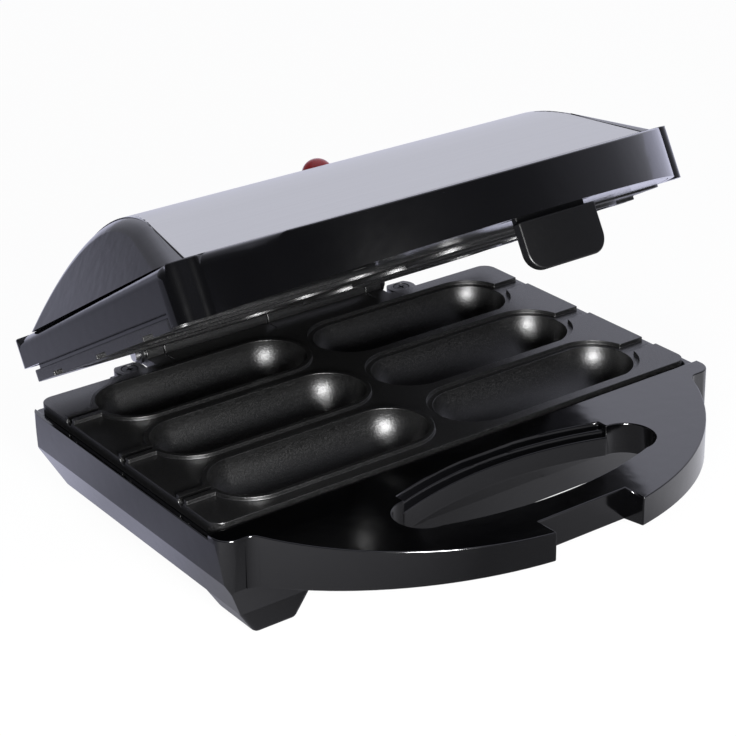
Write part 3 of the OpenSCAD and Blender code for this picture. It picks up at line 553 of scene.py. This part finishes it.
def sheet_corner(edge):
    """Short edge through the steel sheet at one of its corners."""
    through = edge.calc_length() < SHEET_THICK
    return outer_edge(edge) and through and abs(middle(edge).x) > SHEET_END_X


def is_curved(face):
    """Whether a narrow face is part of a curve, by the bend to its neighbours."""
    if 2 * face.calc_area() / face.calc_perimeter() > STRIP_WIDTH:
        return False
    for edge in face.edges:
        if len(edge.link_faces) == 2:
            bend = math.degrees(edge.calc_face_angle(0))
            if LEAST_CURVE < bend < HARD_BEND:
                return True
    return False


def fills_of(normal, spots):
    """Triangles that fill a face in two ways, as numbers of its corners."""
    yield tessellate_polygon([spots])
    along = normal.orthogonal().normalized()
    across = normal.cross(along)
    flat = [Vector((spot.dot(along), spot.dot(across))) / MM for spot in spots]
    _, _, trios, sources, _, owners = delaunay_2d_cdt(
        flat, [], [list(range(len(flat)))], FILL_INSIDE, FILL_TOLERANCE
    )
    if all(sources):
        yield [
            [sources[n][0] for n in trio]
            for trio, owner in zip(trios, owners)
            if owner
        ]


def split_faces(shape):
    """Cuts each face of more than four corners into triangles that keep its area."""
    shape.normal_update()
    spent = []
    for face in list(shape.faces):
        corners = list(face.verts)
        if len(corners) < 5:
            continue
        spent.append(face)
        spots = [corner.co for corner in corners]
        whole = face.calc_area()

        def area_off(trios):
            areas = (area_tri(*(spots[n] for n in trio)) for trio in trios)
            return abs(sum(areas) - whole)

        for trio in min(fills_of(face.normal, spots), key=area_off):
            a, b, c = (corners[n] for n in trio)
            side = (b.co - a.co).cross(c.co - a.co)
            if side.length < LEAST_SIDE_PRODUCT:
                continue
            if side.dot(face.normal) < 0:
                b, c = c, b
            if shape.faces.get((a, b, c)) is None:
                shape.faces.new((a, b, c), face)
    bmesh.ops.delete(shape, geom=spent, context="FACES_ONLY")


def smooth_fan(face, corner):
    """Faces round a corner that are shaded as one surface with a face."""
    fan, todo = {face}, [face]
    while todo:
        for edge in todo.pop().edges:
            if edge.smooth and corner in edge.verts:
                for other in edge.link_faces:
                    if other not in fan:
                        fan.add(other)
                        todo.append(other)
    return fan


def broad_normals(shape, breadth):
    """Corner normals in which broad faces lead, so that only rounded edges bend."""
    shape.normal_update()
    normals = []
    for face in shape.faces:
        for corner in face.verts:
            fan = smooth_fan(face, corner) if face.smooth else [face]
            lead = sum((other.normal * other[breadth] for other in fan), Vector())
            normals.append(lead.normalized() if lead.length else face.normal.copy())
    return normals


def rounded_skin(node, *roundings):
    """Copy of a node whose flat faces are joined and whose edges are rounded."""
    source = frame["nodes"][node]
    slot = source.data.materials[0].name
    shape = bmesh.new()
    shape.from_mesh(source.data)
    bmesh.ops.remove_doubles(shape, verts=shape.verts, dist=WELD_DISTANCE)
    bmesh.ops.dissolve_limit(
        shape,
        angle_limit=math.radians(FLAT_BEND),
        verts=shape.verts,
        edges=shape.edges,
    )
    for face in shape.faces:
        face.smooth = is_curved(face)
    for edge in shape.edges:
        edge.smooth = not is_sharp(edge, HARD_BEND)
    for choose, width, steps in roundings:
        chosen = [edge for edge in shape.edges if choose(edge)]
        for edge in chosen:
            edge.smooth = True
        rounded = bmesh.ops.bevel(
            shape,
            geom=chosen,
            offset=width * MM,
            offset_type="OFFSET",
            segments=steps,
            profile=0.5,
            affect="EDGES",
            clamp_overlap=False,
            loop_slide=False,
        )
        for face in rounded["faces"]:
            face.smooth = True
    breadth = shape.faces.layers.float.new("breadth")
    for face in shape.faces:
        face[breadth] = face.calc_area()
    split_faces(shape)
    normals = broad_normals(shape, breadth)
    mesh = bpy.data.meshes.new(node + "_skin")
    shape.to_mesh(mesh)
    shape.free()
    mesh.normals_split_custom_set(normals)
    mesh.materials.clear()
    mesh.materials.append(FINISHES[slot])
    piece = bpy.data.objects.new(node + "_skin", mesh)
    scene.collection.objects.link(piece)
    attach(piece, BODY_OF[node])
    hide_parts(node)


def dress_nodes():
    """Gives each node the finish of the slot that its packed material names."""
    for piece in frame["nodes"].values():
        slot = piece.data.materials[0].name
        piece.data.materials[0] = FINISHES[slot]


def dress_skins():
    """Rounds the shown pieces: which edges, how many millimetres, in how many steps."""
    rounded_skin("lower_housing", (foot_edge, 2, 4), (base_edge, 0.6, 3))
    rounded_skin("upper_housing", (cap_edge, 5.3, 8), (lid_edge, 0.6, 3))
    rounded_skin("handle_cover", (outer_edge, 0.4, 2))
    rounded_skin("latch", (outer_edge, 0.7, 3))
    rounded_skin("lower_plate", (is_sharp, 0.3, 3))
    rounded_skin("upper_plate", (is_sharp, 0.3, 3))
    rounded_skin("steel_panel", (sheet_corner, 5, 8), (outer_edge, 0.2, 2))


place_camera()
light_studio()
lay_floor()
hang_front_lamp()
dress_skins()
dress_nodes()
scene.view_settings.view_transform = "Standard"

[[list(map(float, corner)) for corner in box] for box in (cad_box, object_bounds())]
